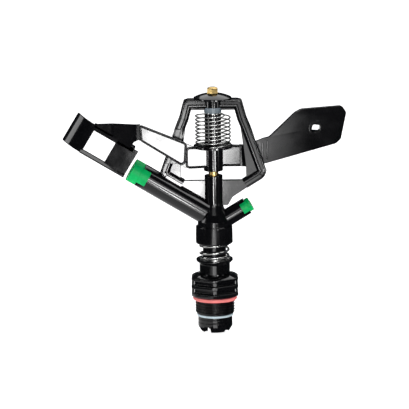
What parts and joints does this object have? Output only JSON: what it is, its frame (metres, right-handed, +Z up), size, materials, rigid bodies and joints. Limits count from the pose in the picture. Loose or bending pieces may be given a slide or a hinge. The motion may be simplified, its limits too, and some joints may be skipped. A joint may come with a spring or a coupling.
{
  "type": "impact sprinkler",
  "caption": "Impact sprinkler head on a male pipe thread: sprung bearing, slanted range and side nozzles, bell frame, and a spring-loaded swinging arm with spoon and paddle.",
  "frame": {"origin": "on the turning axis, at the sealing face under the gasket, where the male thread starts", "axes": "+Z up along the turning axis; -X is the way the main jet leaves; -Y is the side that the arm swings out on"},
  "size_m": [0.1868, 0.0408, 0.164],
  "materials": {
    "black_plastic": "glossy moulded acetal",
    "green_plastic": "glossy moulded acetal",
    "white_plastic": "satin nylon",
    "pale_plastic": "satin moulded",
    "grey_plastic": "satin moulded",
    "seal_rubber": "moulded rubber",
    "gasket_rubber": "flat sheet rubber",
    "spring_steel": "drawn stainless wire",
    "brass": "turned brass"
  },
  "bodies": {
    "base": {"inlet_nipple": "black_plastic", "inlet_gasket": "gasket_rubber"},
    "bearing": {"upper_thrust_washer": "white_plastic", "seal_washer": "seal_rubber", "lower_thrust_washer": "white_plastic", "spring_seat_washer": "spring_steel", "bearing_spring": "spring_steel"},
    "head": {"head_body": "black_plastic", "bearing_tube": "black_plastic", "dome_cap": "black_plastic", "pivot_pin": "brass", "cap_nut": "brass", "top_bush": "pale_plastic", "hub_washer": "spring_steel", "main_nozzle": "green_plastic", "main_nozzle_seal": "seal_rubber", "stream_straightener": "grey_plastic", "aux_nozzle": "green_plastic", "aux_nozzle_seal": "seal_rubber"},
    "arm": {"swing_arm": "black_plastic", "arm_bush_lower": "pale_plastic", "arm_bush_upper": "pale_plastic", "arm_spring": "spring_steel"}
  },
  "joints": [
    {"name": "head_turn", "type": "hinge", "parent": "base", "child": "bearing", "pos_m": [0, 0, 0], "axis": [0, 0, 1], "continuous": true},
    {"name": "head_float", "type": "slide", "parent": "bearing", "child": "head", "axis": [0, 0, 1], "range_m": [-0.002, 0], "stiffness_N_per_m": 1300, "springref_m": 0.004, "deforming": ["bearing_spring"]},
    {"name": "arm_swing", "type": "hinge", "parent": "head", "child": "arm", "pos_m": [0, 0, 0.0868], "axis": [0, 0, 1], "range_deg": [0, 140], "stiffness_Nm_per_rad": 0.02, "springref_deg": -68.75, "deforming": ["arm_spring"]}
  ]
}
